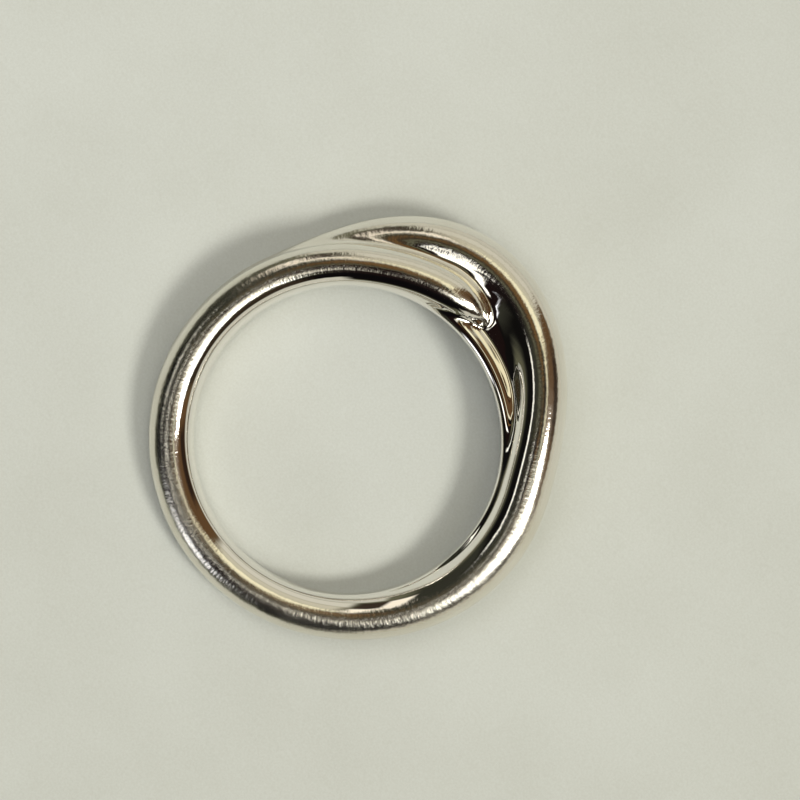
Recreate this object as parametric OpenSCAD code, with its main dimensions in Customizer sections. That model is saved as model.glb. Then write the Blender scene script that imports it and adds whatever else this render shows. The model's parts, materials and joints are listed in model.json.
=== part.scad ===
// Crossover finger ring, one solid casting.
// The finger hole's axis is Z, with the origin at the hole's centre. The swirl faces -Y.
// A near ridge (+Z) and a far ridge (-Z) run round the hole, and an outer ridge crosses over them.
// All angles are measured round the finger hole from the crest of the outer ridge.

/* [Finger hole] */
// Diameter of the finger hole
hole_d = 16.5; // [14:0.1:22]
// Width of the flat inner wall at the back, before the blend widens it
land_back = 0.6; // [0.4:0.05:1.6]
// Width of the flat inner wall at the front, before the blend
land_front = 2.4; // [1.6:0.1:4]
// Thickness of the rim that carries the inner wall past the side ridges' tips
rim_t = 1; // [0.8:0.1:1.6]

/* [Shank] */
// Diameter of the round wire forms; where they run together, the shank is thicker by half the blend
wire_d = 2.25; // [1.8:0.05:3.5]

/* [Side ridges] */
// Distance between the side ridges' centres at the front
ridge_gap = 2.2; // [1:0.1:3]
// How far past the crest each side ridge's tip reaches, in degrees
tip_angle = 11; // [5:1:20]
// Length over which each side ridge rounds off to its tip, in degrees
tip_len = 20; // [10:1:30]
// How far each side ridge moves outwards by its tip
tip_drift = 0.45; // [0:0.05:0.8]
// Length over which it moves, in degrees
drift_len = 45; // [25:5:60]

/* [Outer ridge] */
// Diameter of the outer ridge at the crest
crest_d = 2.7; // [2:0.1:3.5]
// How far the outer ridge's centre rises over the shank's
crest_rise = 2.6; // [1.5:0.05:3.5]
// Angle on either side of the crest over which the outer ridge rises
crest_reach = 65; // [50:1:80]
// How far the outer ridge already stands out where it leaves the shank
shoulder_rise = 0.55; // [0:0.05:0.8]
// Angle before the crest at which the shoulder has its full rise
shoulder_angle = 62; // [40:1:80]
// Angle on either side of the crest over which the outer ridge crosses from side to side
cross_reach = 55; // [40:1:80]

/* [Valley] */
// Thickness of the web between the ridges
web_t = 1.5; // [1:0.1:2]
// Softness of the blend where ridges and web meet
blend = 0.6; // [0.3:0.05:0.8]

/* [Hidden] */
turns = 120;             // sections round the ring
sides = 44;              // points round a section
halvings = 18;           // steps that find a section's surface
search_r = 6;            // a section's surface lies within this distance of its middle
hole_r = hole_d / 2;
wire_r = wire_d / 2;
crest_r = crest_d / 2;
wire_path_r = hole_r + sqrt(wire_r * wire_r - land_back * land_back / 4);
inset = 0.1;             // the casting reaches this far into the hole, which is then cut true
rim_blend = 0.3;         // softness of the blend between the rim and the rest
hole_len = 4 * (wire_d + ridge_gap);

// Rises smoothly from 0 to 1 as t goes from 0 to 1
function ease(t) = let (c = min(1, max(0, t))) c * c * (3 - 2 * c);

// Share of the front's width that the band has at angle a: 1 at the crest, 0 at the back
function openness(a) = (1 + cos(a)) / 2;

// Side ridges: distance from the middle plane, and the near ridge's radius, below 0 past its tip, and
// its centre as [radius, z]. The far ridge is the near one turned over.
function spread(a) = ridge_gap / 2 * openness(a);
function tip_share(a) = min(1, max(0, 1 - (a + tip_angle) / tip_len));
function near_ridge_r(a) = (wire_r + blend) * sqrt(1 - pow(tip_share(a), 2)) - blend;
function near_ridge(a) = [wire_path_r + tip_drift * ease(1 - (a + tip_angle) / drift_len), spread(a)];

// Outer ridge: its centre as [radius, z], and its radius
function rise(a) = crest_rise * pow(cos(90 * min(1, abs(a) / crest_reach)), 2);
function shoulder(a) = shoulder_rise * ease(-a / shoulder_angle) * ease((a + 178) / 100);
function crossing(a) = 2 * ease((a + cross_reach) / (2 * cross_reach)) - 1;
function outer_ridge(a) = [wire_path_r + rise(a) + shoulder(a), -spread(a) * crossing(a)];
function outer_ridge_r(a) = wire_r + (crest_r - wire_r) * ease((150 - abs(a)) / 70);

// Filling between the ridges: 1 all over the front, 0 at the back, where the shank is plain wire
function filling(a) = ease((110 - abs(a)) / 60);

// Rim: half its thickness, and how far the middle of that thickness reaches from the middle plane
function rim_r(a) = rim_t / 2 * filling(a);
function rim_z(a) = max(0, (land_back + (land_front - land_back) * openness(a)) / 2 - rim_r(a) / 2);

// Signed distances in the half-plane at angle a, below 0 inside
function disc(p, centre, r) = norm(p - centre) - r;
function bar(p, c0, c1, r) =
    let (
        d = c1 - c0,
        len2 = d * d,
        t = len2 < 1e-9 ? 0 : min(1, max(0, (p - c0) * d / len2))
    )
    norm(p - c0 - t * d) - r;

// Union of two shapes with the corner between them filled
function fuse(d0, d1, soft) = let (h = max(soft - abs(d0 - d1), 0) / soft) min(d0, d1) - h * h * soft / 4;

// The casting: outer ridge, side ridges, web and rim
// f = [outer, outer_r, near, near_r, far, far_r, rim_z, rim_r, rim_path_r, web_half]
function casting(p, f) =
    fuse(
        fuse(
            fuse(
                disc(p, f[0], f[1]),
                min(disc(p, f[2], f[3]), disc(p, f[4], f[5])),
                blend
            ),
            bar(p, [f[8], 0], f[0], f[9]),
            blend
        ),
        bar(p, [f[8], f[6]], [f[8], -f[6]], f[7]),
        rim_blend
    );

// Distance from middle m along direction d to the section's surface, found by halving
function reach_out(m, d, f, lo, hi, k) =
    let (mid = (lo + hi) / 2)
    k == 0 ? mid
    : casting(m + mid * d, f) < 0 ? reach_out(m, d, f, mid, hi, k - 1)
    : reach_out(m, d, f, lo, mid, k - 1);

// Points round the section at angle a, as [radius, z]. Every ray from m leaves the section once, and the
// rays are aimed at a circle stretched towards the outer ridge.
function section(a) =
    let (
        f = [
            outer_ridge(a), outer_ridge_r(a),
            near_ridge(a), near_ridge_r(a),
            [near_ridge(-a).x, -near_ridge(-a).y], near_ridge_r(-a),
            rim_z(a), rim_r(a), hole_r - inset * filling(a) + rim_r(a), web_t / 2 * filling(a)
        ],
        m = [wire_path_r, 0]
    )
    [for (i = [0:sides - 1])
        let (
            u = [cos(360 * i / sides), sin(360 * i / sides)],
            aim = wire_r * u + (f[0] - m) * (1 + u.x) / 2,
            d = aim / norm(aim),
            p = m + d * reach_out(m, d, f, 0, search_r, halvings)
        )
        [max(p.x, hole_r - inset), p.y]];

// The solid through all the sections, with the crest at -Y
module casting_blank() {
    points = [for (t = [0:turns - 1])
        let (a = 360 * t / turns - 180)
        for (p = section(a)) [p.x * cos(a - 90), p.x * sin(a - 90), p.y]];
    quads = [for (t = [0:turns - 1], i = [0:sides - 1])
        let (t1 = (t + 1) % turns, i1 = (i + 1) % sides)
        [t * sides + i, t * sides + i1, t1 * sides + i1, t1 * sides + i]];
    polyhedron(points, [for (q = quads) each [[q[0], q[1], q[2]], [q[0], q[2], q[3]]]]);
}

module ring() {
    color("silver")
        difference() {
            casting_blank();
            cylinder(h = hole_len, r = hole_r, center = true, $fn = 180);
        }
}

ring();
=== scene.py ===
import json
import math

import bmesh
import bpy
from mathutils import Matrix, Vector


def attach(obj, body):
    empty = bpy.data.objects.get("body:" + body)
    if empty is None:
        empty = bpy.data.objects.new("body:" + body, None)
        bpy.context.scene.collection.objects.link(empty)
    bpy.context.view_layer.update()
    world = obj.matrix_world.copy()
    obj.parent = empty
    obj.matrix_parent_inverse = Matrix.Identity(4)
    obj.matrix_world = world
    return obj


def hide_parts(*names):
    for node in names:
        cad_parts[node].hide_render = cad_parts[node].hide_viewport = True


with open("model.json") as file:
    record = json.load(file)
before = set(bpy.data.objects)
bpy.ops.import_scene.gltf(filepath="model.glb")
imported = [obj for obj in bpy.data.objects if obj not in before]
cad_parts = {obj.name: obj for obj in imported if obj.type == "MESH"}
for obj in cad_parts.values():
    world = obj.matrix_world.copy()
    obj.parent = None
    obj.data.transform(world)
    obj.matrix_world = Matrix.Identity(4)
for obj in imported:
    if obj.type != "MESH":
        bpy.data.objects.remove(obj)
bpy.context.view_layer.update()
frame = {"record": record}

# ---------------------------------------------------------------------------------------------
# Ring blank. A jeweller's crossover ring: a round silver wire shank whose two side ridges pass
# each other at the front, under an outer ridge that crosses from one side to the other.
# It is cast in one piece, filed and polished.

mm = 0.001
finger_hole = frame["record"]["mounts"][0]
hole_r = finger_hole["dims"]["r_mm"] * mm
land_back = 0.6 * mm
land_front = 2.4 * mm
rim_half = 0.5 * mm
wire_r = 1.125 * mm
ridge_gap = 2.2 * mm
tip_angle = math.radians(11)
tip_len = math.radians(20)
tip_drift = 0.45 * mm
drift_len = math.radians(45)
crest_r = 1.35 * mm
crest_rise = 2.6 * mm
crest_reach = math.radians(65)
shoulder_rise = 0.55 * mm
shoulder_angle = math.radians(62)
shoulder_start = math.radians(178)
shoulder_len = math.radians(100)
swell_start = math.radians(150)     # where the outer ridge starts to thicken towards the crest
swell_len = math.radians(70)
cross_reach = math.radians(55)
filling_start = math.radians(110)   # where web and rim start to fill the space between the ridges
filling_len = math.radians(60)
web_half = 0.75 * mm
blend = 0.6 * mm
rim_inset = 0.1 * mm
rim_blend = 0.3 * mm
edge_round = 0.16 * mm              # the polished edge of the finger hole
polish = 0.01 * mm                  # what polishing takes off the casting
wire_path_r = hole_r + math.sqrt(wire_r ** 2 - land_back ** 2 / 4)


def ease(t):
    """Rises smoothly from 0 to 1 as t goes from 0 to 1."""
    t = min(1.0, max(0.0, t))
    return t * t * (3 - 2 * t)


def side_ridge(a):
    """Radius of the near ridge at angle a from the crest, below 0 past its tip, and radius of its path.
    The far ridge is the near one turned over."""
    tip_share = min(1, max(0, 1 - (a + tip_angle) / tip_len))
    r = (wire_r + blend) * math.sqrt(1 - tip_share ** 2) - blend
    return r, wire_path_r + tip_drift * ease(1 - (a + tip_angle) / drift_len)


def ridges(a):
    """The parts of the section at angle a from the crest: the round ridges as centre and radius, and
    the web and rim as bars with two ends and a radius."""
    openness = (1 + math.cos(a)) / 2
    spread = ridge_gap / 2 * openness
    rise = crest_rise * math.cos(math.pi / 2 * min(1, abs(a) / crest_reach)) ** 2
    shoulder = shoulder_rise * ease(-a / shoulder_angle) * ease((a + shoulder_start) / shoulder_len)
    crossing = 2 * ease((a + cross_reach) / (2 * cross_reach)) - 1
    outer = Vector((wire_path_r + rise + shoulder, -spread * crossing))
    outer_r = wire_r + (crest_r - wire_r) * ease((swell_start - abs(a)) / swell_len)
    near_r, near_path_r = side_ridge(a)
    far_r, far_path_r = side_ridge(-a)
    filling = ease((filling_start - abs(a)) / filling_len)
    rim_r = rim_half * filling
    rim_path_r = hole_r - rim_inset * filling + rim_r
    rim_z = max(0, (land_back + (land_front - land_back) * openness) / 2 - rim_r / 2)
    return (
        (outer, outer_r), (Vector((near_path_r, spread)), near_r), (Vector((far_path_r, -spread)), far_r),
        (Vector((rim_path_r, 0)), outer, web_half * filling),
        (Vector((rim_path_r, rim_z)), Vector((rim_path_r, -rim_z)), rim_r),
    )


def bar(p, c0, c1, r):
    """Signed distance from p to a round-ended bar."""
    d = c1 - c0
    t = 0 if d.length_squared < 1e-16 else min(1, max(0, (p - c0).dot(d) / d.length_squared))
    return (p - c0 - t * d).length - r


def fuse(d0, d1, soft):
    """Union of two shapes with the corner between them filled."""
    h = max(soft - abs(d0 - d1), 0) / soft
    return min(d0, d1) - h * h * soft / 4


def casting(p, form):
    """Signed distance from p, in the half-plane of the section, to the cast form."""
    outer, near, far = [(p - centre).length - r for centre, r in form[:3]]
    cast = fuse(fuse(outer, min(near, far), blend), bar(p, *form[3]), blend)
    cast = fuse(cast, bar(p, *form[4]), rim_blend)
    return -fuse(-cast, p.x - hole_r, edge_round)


swirl_wear = 0.55                   # share of the shank's wear that the swirl's ridges have
wear_start = math.radians(40)       # where the wear starts to grow towards the shank
wear_len = math.radians(40)
wear_fade = 0.35 * mm               # width over which it fades out towards the web and rim
wear_inner = -0.6                   # where it begins across a ridge, from -1 inside to 1 outside
wear_inner_len = 0.5
least_r = 0.1 * mm                  # stands in for a ridge's radius where the ridge has ended


def ridge_wear(p, a, form):
    """How worn the polish is at p: most on the shank's top and outside, some on the swirl's ridges,
    and none in the valley or on the inner wall."""
    depth, centre_x, r = min(((p - centre).length - r, centre.x, r) for centre, r in form[:3])
    web = min(bar(p, *form[3]), bar(p, *form[4]))
    outward = (p.x - centre_x) / max(r, least_r)
    share = swirl_wear + (1 - swirl_wear) * ease((abs(a) - wear_start) / wear_len)
    return share * ease((web - depth) / wear_fade) * ease((outward - wear_inner) / wear_inner_len)


def build_ring():
    """The blank: a circle spun round the finger hole, whose points then move out to the cast form."""
    turns = 480
    sides = 112
    halvings = 20                       # steps that find a section's surface
    search_r = 6 * mm                   # a section's surface lies within this distance of its middle
    middle = Vector((wire_path_r, 0))   # every ray from here leaves the section once
    bm = bmesh.new()
    circle = bmesh.ops.create_circle(bm, segments=sides, radius=wire_r)["verts"]
    bmesh.ops.rotate(bm, verts=circle, matrix=Matrix.Rotation(math.pi / 2, 3, "X"))
    bmesh.ops.translate(bm, verts=circle, vec=(wire_path_r, 0, 0))
    bmesh.ops.spin(bm, geom=bm.verts[:] + bm.edges[:], axis=(0, 0, 1), angle=math.tau,
                   steps=turns, use_merge=True)
    bmesh.ops.remove_doubles(bm, verts=bm.verts, dist=wire_r * 1e-4)
    wear = bm.verts.layers.float.new("wear")
    forms = {}
    for v in bm.verts:
        turn = math.atan2(v.co.x, -v.co.y)
        key = round(turn, 4)
        if key not in forms:
            forms[key] = ridges(turn)
        form = forms[key]
        offset = Vector((math.hypot(v.co.x, v.co.y) - wire_path_r, v.co.z))
        offset = (offset + (form[0][0] - middle) * (1 + offset.x / wire_r) / 2).normalized()
        low, high = 0.0, search_r
        for _ in range(halvings):
            half = (low + high) / 2
            if casting(middle + offset * half, form) < 0:
                low = half
            else:
                high = half
        p = middle + offset * (low - polish)
        v[wear] = ridge_wear(p, turn, form)
        v.co = (p.x * math.sin(turn), -p.x * math.cos(turn), p.y)
    bmesh.ops.recalc_face_normals(bm, faces=bm.faces)
    mesh = bpy.data.meshes.new("silver_ring")
    bm.to_mesh(mesh)
    bm.free()
    for face in mesh.polygons:
        face.use_smooth = True
    piece = bpy.data.objects.new("silver_ring", mesh)
    bpy.context.scene.collection.objects.link(piece)
    return piece


silver_ring = build_ring()


def linear(hex_colour):
    """An sRGB hex colour as the linear RGBA that shaders take."""
    parts = [int(hex_colour[i:i + 2], 16) / 255 for i in (0, 2, 4)]
    return [c / 12.92 if c <= 0.04045 else ((c + 0.055) / 1.055) ** 2.4 for c in parts] + [1]


def add_node(tree, kind, inputs=None, **settings):
    """Adds a node with its settings, and its inputs set to values or linked to other nodes' outputs."""
    node = tree.nodes.new(kind)
    for name, value in settings.items():
        setattr(node, name, value)
    for name, value in (inputs or {}).items():
        if isinstance(value, bpy.types.NodeSocket):
            tree.links.new(value, node.inputs[name])
        else:
            node.inputs[name].default_value = value
    return node


scratch_pitch = 0.14 * mm           # real ones are finer, and wouldn't show
scratch_length = 0.6 * mm
scratch_depth = 0.02 * mm
dent_size = 0.35 * mm
patch_size = 2.5 * mm
mirror_roughness = 0.03
worn_roughness = 0.27


def polished_silver():
    """Sterling silver, cast, polished to a mirror, then worn. Mirror-bright in the valley and inside the
    hole; on the ridges a haze of fine scratches that roughens the edges of every reflection."""
    material = bpy.data.materials.new("worn_polished_sterling_silver")
    material.use_nodes = True
    tree = material.node_tree
    shader = tree.nodes["Principled BSDF"]
    shader.inputs["Metallic"].default_value = 1
    place = add_node(tree, "ShaderNodeTexCoord").outputs["Object"]
    worn = add_node(tree, "ShaderNodeAttribute", attribute_name="wear").outputs["Fac"]

    # Scratches lie across the wire, so the pattern is fine along the ring and long across it
    xyz = add_node(tree, "ShaderNodeSeparateXYZ", {"Vector": place})
    turn = add_node(tree, "ShaderNodeMath", {0: xyz.outputs["Y"], 1: xyz.outputs["X"]}, operation="ARCTAN2")
    flat = add_node(tree, "ShaderNodeCombineXYZ", {"X": xyz.outputs["X"], "Y": xyz.outputs["Y"]})
    radius = add_node(tree, "ShaderNodeVectorMath", {0: flat.outputs["Vector"]}, operation="LENGTH")
    along = add_node(tree, "ShaderNodeMath", {0: turn.outputs[0], 1: wire_path_r / scratch_pitch},
                     operation="MULTIPLY")
    across = add_node(tree, "ShaderNodeMath", {0: radius.outputs["Value"], 1: 1 / scratch_length},
                      operation="MULTIPLY")
    up_wire = add_node(tree, "ShaderNodeMath", {0: xyz.outputs["Z"], 1: 1 / scratch_length},
                       operation="MULTIPLY")
    scratch_place = add_node(tree, "ShaderNodeCombineXYZ",
                             {"X": along.outputs[0], "Y": across.outputs[0], "Z": up_wire.outputs[0]})
    scratches = add_node(tree, "ShaderNodeTexNoise", {"Vector": scratch_place.outputs["Vector"], "Scale": 1.0,
                                                      "Detail": 3.0, "Roughness": 0.6})
    dents = add_node(tree, "ShaderNodeTexNoise", {"Vector": place, "Scale": 1 / dent_size, "Detail": 2.0})
    patches = add_node(tree, "ShaderNodeTexNoise", {"Vector": place, "Scale": 1 / patch_size, "Detail": 1.0})

    # Roughness: a mirror where the wear is nothing, hazy on the ridges, in uneven patches
    uneven = add_node(tree, "ShaderNodeMapRange", {"Value": patches.outputs["Fac"], "From Min": 0.3,
                                                   "From Max": 0.7, "To Min": 0.6, "To Max": 1.0})
    haze = add_node(tree, "ShaderNodeMath", {0: worn, 1: uneven.outputs["Result"]}, operation="MULTIPLY")
    rough = add_node(tree, "ShaderNodeMapRange", {"Value": haze.outputs[0], "To Min": mirror_roughness,
                                                  "To Max": worn_roughness})
    tree.links.new(rough.outputs["Result"], shader.inputs["Roughness"])

    # Tarnish: the silver is a shade warmer and duller where it's worn
    tint = add_node(tree, "ShaderNodeMix", {"Factor": haze.outputs[0]}, data_type="RGBA")
    tint.inputs["A"].default_value = linear("F3F0EA")
    tint.inputs["B"].default_value = linear("E6E1D4")
    tree.links.new(tint.outputs["Result"], shader.inputs["Base Color"])

    # Relief: scratches and small dents, both fading out with the wear
    relief = add_node(tree, "ShaderNodeMath", {0: scratches.outputs["Fac"], 1: dents.outputs["Fac"]},
                      operation="ADD")
    cut = add_node(tree, "ShaderNodeMath", {0: relief.outputs[0], 1: haze.outputs[0]}, operation="MULTIPLY")
    bump = add_node(tree, "ShaderNodeBump", {"Height": cut.outputs[0], "Distance": scratch_depth})
    tree.links.new(bump.outputs["Normal"], shader.inputs["Normal"])
    return material


silver_ring.data.materials.append(polished_silver())
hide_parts("ring")
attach(silver_ring, "root")

# ---------------------------------------------------------------------------------------------
# Table top. A plain pale sheet that the ring lies on. The ring's front is wider than its back, so
# lying down it tips a little, and the table is drawn tipped instead, under the still ring.

tip_slope = ridge_gap / 4 / wire_path_r
table_up = Vector((0, -tip_slope, 1)).normalized()
table_middle = Vector((0, 0, -(wire_r / table_up.z + ridge_gap / 4)))
table_tilt = Vector((0, 0, 1)).rotation_difference(table_up).to_matrix().to_4x4()
table_place = Matrix.Translation(table_middle) @ table_tilt
table_half = 600 * mm


def build_table():
    """The sheet: one flat square, tipped under the ring."""
    bm = bmesh.new()
    bmesh.ops.create_grid(bm, x_segments=1, y_segments=1, size=table_half)
    bm.transform(table_place)
    mesh = bpy.data.meshes.new("table_top")
    bm.to_mesh(mesh)
    bm.free()
    table = bpy.data.objects.new("table_top", mesh)
    bpy.context.scene.collection.objects.link(table)
    return table


table_top = build_table()


paper_grain = 0.12 * mm
paper_clouds = 9 * mm


def matt_table():
    """Matt pale paper: a fine grain, and a few soft clouds where it's been handled."""
    material = bpy.data.materials.new("matt_pale_paper")
    material.use_nodes = True
    tree = material.node_tree
    shader = tree.nodes["Principled BSDF"]
    shader.inputs["Roughness"].default_value = 0.7
    place = add_node(tree, "ShaderNodeTexCoord").outputs["Object"]
    grain = add_node(tree, "ShaderNodeTexNoise", {"Vector": place, "Scale": 1 / paper_grain, "Detail": 2.0})
    clouds = add_node(tree, "ShaderNodeTexNoise", {"Vector": place, "Scale": 1 / paper_clouds, "Detail": 3.0})
    both = add_node(tree, "ShaderNodeMath", {0: grain.outputs["Fac"], 1: clouds.outputs["Fac"]},
                    operation="ADD")
    share = add_node(tree, "ShaderNodeMapRange", {"Value": both.outputs[0], "From Min": 0.6, "From Max": 1.4})
    tint = add_node(tree, "ShaderNodeMix", {"Factor": share.outputs["Result"]}, data_type="RGBA")
    tint.inputs["A"].default_value = linear("C9CCC5")
    tint.inputs["B"].default_value = linear("D5D9D4")
    tree.links.new(tint.outputs["Result"], shader.inputs["Base Color"])
    return material


table_top.data.materials.append(matt_table())

# ---------------------------------------------------------------------------------------------
# Camera. It looks straight down at the table, with the crest of the swirl up and to the right.

crest_turn = math.radians(49.7)
camera_height = 110 * mm
view_width = 42.79 * mm
view_shift_right = 2.875 * mm
view_shift_up = 2.147 * mm
sensor_width = 36

up_flat = Vector((math.cos(crest_turn), -math.sin(crest_turn), 0))
right = up_flat.cross(table_up).normalized()
up = table_up.cross(right).normalized()
camera_data = bpy.data.cameras.new("camera")
camera = bpy.data.objects.new("camera", camera_data)
bpy.context.scene.collection.objects.link(camera)
axes = Matrix((right, up, table_up)).transposed().to_4x4()
eye = right * view_shift_right + up * view_shift_up + table_up * camera_height
camera.matrix_world = Matrix.Translation(eye) @ axes
camera_data.sensor_width = sensor_width
camera_data.lens = sensor_width * camera_height / view_width
camera_data.clip_start = 0.005
camera_data.clip_end = 10
bpy.context.scene.camera = camera

# ---------------------------------------------------------------------------------------------
# Room and lights. The room is what the silver reflects: plain walls, and over them soft-edged cards for
# its windows, dark corners and ceiling. Two lamps and a small fill light the table.

room_colour = "64634F"
cards = [
    # colour, strength, turn from, turn to, height from, height to and edge, the last five in degrees:
    # turns go round the table from the camera's right, heights go up from the table to 90 overhead,
    # and a card that covers the point overhead ends past 90, so that its soft edge doesn't show there
    ("33332B", 1.0, 122, 264, 5, 64, 14),          # shaded side of the room
    ("1A1110", 1.0, 186, 262, 34, 99, 10),         # darker above
    ("352C22", 1.0, 262, 330, 8, 38, 8),           # low dark furniture
    ("60472E", 1.0, 330, 398, 18, 70, 12),         # wooden side
    ("2E221A", 1.0, 345, 378, 20, 40, 10),
    ("D6D2C2", 1.0, 38, 98, 18, 40, 6),            # pale wall
    ("CDC7B2", 1.0, 38, 96, 40, 56, 8),
    ("F4EDCC", 1.15, 32, 94, 56, 76, 6),
    ("3A3128", 1.0, 100, 118, 22, 46, 6),          # door frame, its dark side
    ("F8EEDC", 1.25, 100, 112, 46, 72, 5),         # and its lit side
    ("F4EAD8", 1.2, 114, 126, 24, 50, 4),
    ("F4EBCB", 1.2, -40, 36, 71, 80, 5),           # pale ceiling edge
    ("100F0E", 1.0, 156, 200, 12, 46, 10),         # dark doorway
    ("0D0B0C", 1.0, 238, 272, 6, 42, 8),           # dark corner
    ("F6F8FF", 2.0, 208, 222, 12, 36, 5),          # low window
    ("FFFDF4", 1.8, 204, 212, 52, 72, 4),          # narrow window
    ("F2F0E6", 1.4, 160, 184, 36, 42, 3),
    ("EDE8D8", 1.0, 250, 292, 58, 73, 7),          # pale ceiling over the softbox
    ("CBC8B9", 1.0, 262, 470, -90, 17, 5),         # the table's far side
    ("3A3226", 1.0, 100, 165, 62, 84, 9),
    ("6A4F30", 1.0, 74, 140, 67, 99, 8),            # brown shapes overhead
    ("6A4F30", 1.0, 248, 300, 76, 99, 6),
    ("12100E", 1.0, -70, 76, 76, 99, 6),
]


def build_room():
    """The room as one world shader: the cards lie over each other in order. The camera itself sees a
    plain pale backdrop past the table's edge."""
    world = bpy.data.worlds.new("soft_room")
    world.use_nodes = True
    tree = world.node_tree
    tree.nodes.clear()
    place = add_node(tree, "ShaderNodeTexCoord").outputs["Generated"]

    to_right, to_up, to_overhead = [
        add_node(tree, "ShaderNodeVectorMath", {0: place, 1: axis}, operation="DOT_PRODUCT").outputs["Value"]
        for axis in (right, up, table_up)]
    turn = add_node(tree, "ShaderNodeMath", {0: to_up, 1: to_right}, operation="ARCTAN2")
    turn = add_node(tree, "ShaderNodeMath", {0: turn.outputs[0]}, operation="DEGREES").outputs[0]
    height = add_node(tree, "ShaderNodeMath", {0: to_overhead}, operation="ARCSINE")
    height = add_node(tree, "ShaderNodeMath", {0: height.outputs[0]}, operation="DEGREES").outputs[0]

    colour = add_node(tree, "ShaderNodeRGB").outputs[0]
    colour.default_value = linear(room_colour)
    for hex_colour, strength, turn_0, turn_1, height_0, height_1, edge in cards:
        # How far a direction lies inside the card: from its nearer side, then from its bottom and top
        off = add_node(tree, "ShaderNodeMath", {0: turn, 1: (turn_0 + turn_1) / 2}, operation="SUBTRACT")
        off = add_node(tree, "ShaderNodeMath", {0: off.outputs[0], 1: 180.0, 2: -180.0}, operation="WRAP")
        off = add_node(tree, "ShaderNodeMath", {0: off.outputs[0]}, operation="ABSOLUTE").outputs[0]
        side = add_node(tree, "ShaderNodeMath", {0: (turn_1 - turn_0) / 2, 1: off}, operation="SUBTRACT")
        above = add_node(tree, "ShaderNodeMath", {0: height, 1: height_0}, operation="SUBTRACT")
        below = add_node(tree, "ShaderNodeMath", {0: height_1, 1: height}, operation="SUBTRACT")
        level = add_node(tree, "ShaderNodeMath", {0: above.outputs[0], 1: below.outputs[0]},
                         operation="MINIMUM")
        inside = add_node(tree, "ShaderNodeMath", {0: side.outputs[0], 1: level.outputs[0]},
                          operation="MINIMUM")
        share = add_node(tree, "ShaderNodeMapRange", {"Value": inside.outputs[0], "From Min": -edge / 2,
                                                      "From Max": edge / 2}, interpolation_type="SMOOTHSTEP")
        mix = add_node(tree, "ShaderNodeMix", {"Factor": share.outputs["Result"]}, data_type="RGBA")
        tree.links.new(colour, mix.inputs["A"])
        mix.inputs["B"].default_value = [c * strength for c in linear(hex_colour)[:3]] + [1]
        colour = mix.outputs["Result"]
    lit = add_node(tree, "ShaderNodeBackground", {"Color": colour, "Strength": 1.0})
    plain = add_node(tree, "ShaderNodeBackground", {"Color": linear("DCDCD2"), "Strength": 1.0})
    seen = add_node(tree, "ShaderNodeLightPath").outputs["Is Camera Ray"]
    both = add_node(tree, "ShaderNodeMixShader", {0: seen, 1: lit.outputs[0], 2: plain.outputs[0]})
    add_node(tree, "ShaderNodeOutputWorld", {"Surface": both.outputs[0]})
    return world


bpy.context.scene.world = build_room()


def overhead_light(name, towards, height, size, radiance, colour):
    """A rectangular light over the table and level with it. towards is its place over the table as
    shares of its height to the camera's right and up."""
    data = bpy.data.lights.new(name, "AREA")
    data.shape = "RECTANGLE"
    data.size, data.size_y = size
    data.energy = radiance * math.pi * size[0] * size[1]
    data.color = linear(colour)[:3]
    light = bpy.data.objects.new(name, data)
    light.visible_camera = False
    place = (right * towards[0] + up * towards[1] + table_up) * height
    light.matrix_world = Matrix.Translation(place) @ Matrix((right, up, table_up)).transposed().to_4x4()
    bpy.context.scene.collection.objects.link(light)
    return light


overhead_light("lamp", (0.69, -0.46), 0.9, (0.28, 0.28), 34.0, "FFFCF2")
overhead_light("softbox", (0.5, -0.72), 0.5, (0.5, 0.3), 2.2, "FFFFFB")
near_fill = overhead_light("near_fill", (-0.2, 0.35), 0.08, (0.06, 0.06), 1.8, "FBFCFF")
near_fill.visible_glossy = False   # it only softens the shadows, and the silver doesn't reflect it
bpy.context.scene.view_settings.view_transform = "Standard"
